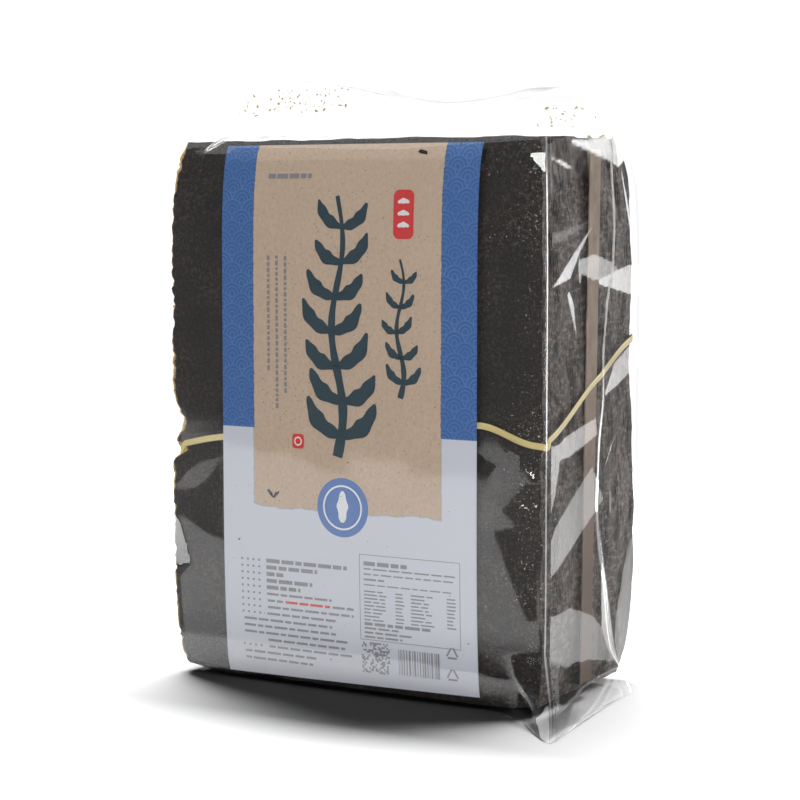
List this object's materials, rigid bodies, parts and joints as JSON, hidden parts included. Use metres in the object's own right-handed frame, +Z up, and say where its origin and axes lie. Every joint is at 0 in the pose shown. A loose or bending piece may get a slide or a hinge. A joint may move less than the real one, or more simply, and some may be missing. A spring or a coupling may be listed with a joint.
{
  "type": "bagged pack of nori sheets",
  "caption": "Upright block of dried seaweed sheets in a clear film bag, with a paper label on its bowed front, a straw tie round the middle and loose film at the top and one bottom corner.",
  "frame": {"origin": "on the floor, below the middle of the block of sheets", "axes": "-Y out of the label, +X to the right of someone who faces the label, +Z up"},
  "size_m": [0.2324, 0.1396, 0.301],
  "materials": {
    "film": "glossy clear film",
    "nori": "matte with a slight sheen",
    "label": "smooth printed",
    "straw": "dry fibre",
    "divider": "plain"
  },
  "bodies": {
    "root": {"bag": "film", "label": "label", "tie": "straw"}
  },
  "joints": []
}
